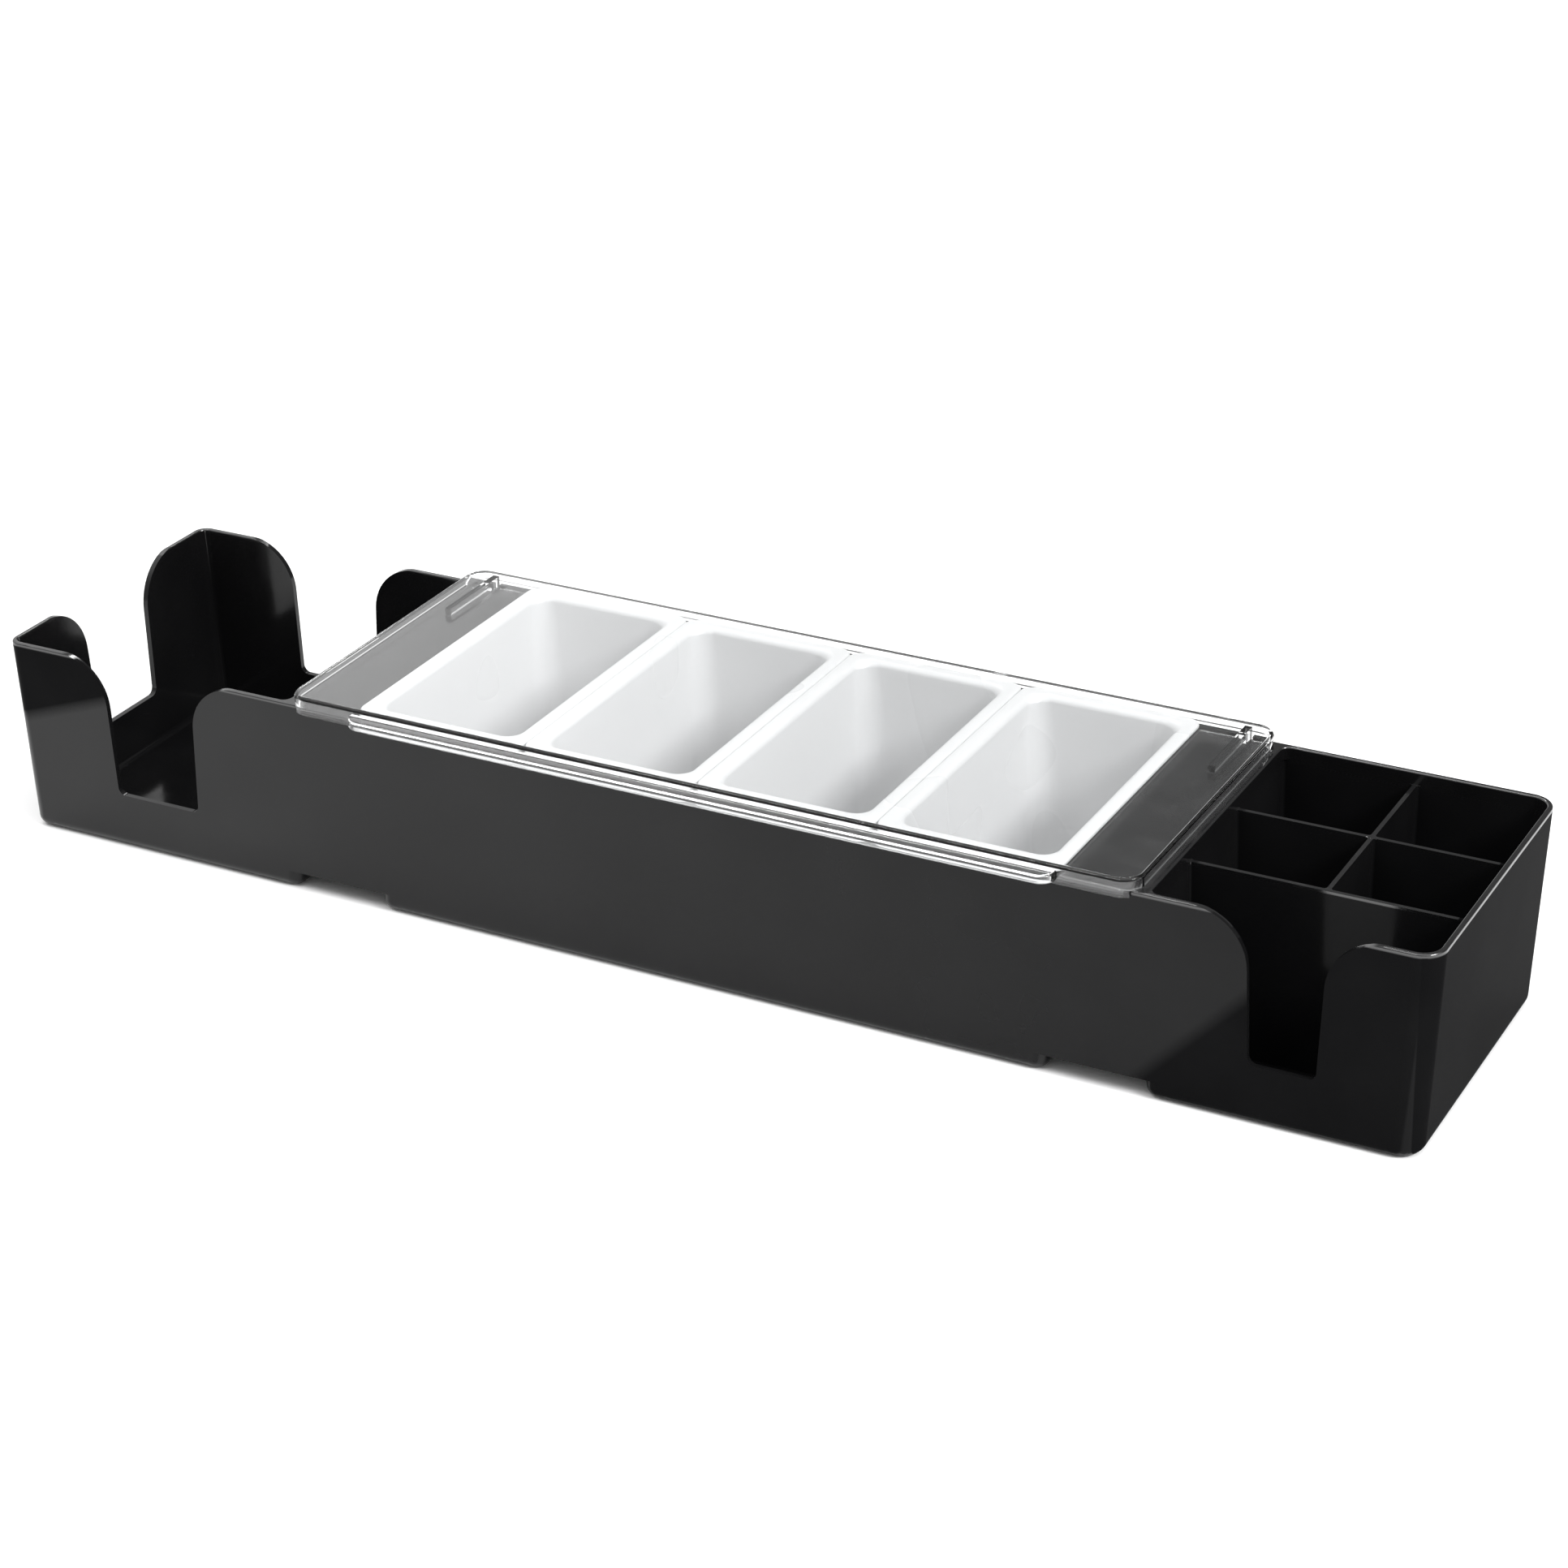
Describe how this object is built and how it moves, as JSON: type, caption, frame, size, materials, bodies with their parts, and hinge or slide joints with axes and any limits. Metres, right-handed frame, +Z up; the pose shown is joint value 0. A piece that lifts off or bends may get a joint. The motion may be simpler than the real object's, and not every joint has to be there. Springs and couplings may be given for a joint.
{
  "type": "condiment and napkin holder",
  "caption": "Long bar-top holder with a napkin tub, hinged clear lid over lift-out condiment inserts, and a divided straw tub.",
  "frame": {"origin": "middle of the row in X and Y, on the plane of the feet", "axes": "+X along the row from the napkin tub to the straw tub, +Y to the back where the lid is hinged, +Z up"},
  "size_m": [0.64, 0.1552, 0.0934],
  "materials": {
    "tray_plastic": "glossy black",
    "insert_plastic": "satin white",
    "lid_clear": "clear, polished"
  },
  "bodies": {
    "caddy": {"caddy_tray": "tray_plastic", "insert_1": "insert_plastic", "insert_2": "insert_plastic", "insert_3": "insert_plastic", "insert_4": "insert_plastic"},
    "lid": {"lid": "lid_clear"}
  },
  "joints": [
    {"name": "lid_hinge", "type": "hinge", "parent": "caddy", "child": "lid", "pos_m": [0.01525, 0.0674, 0.084], "axis": [-1, 0, 0], "range_deg": [0, 90]}
  ]
}
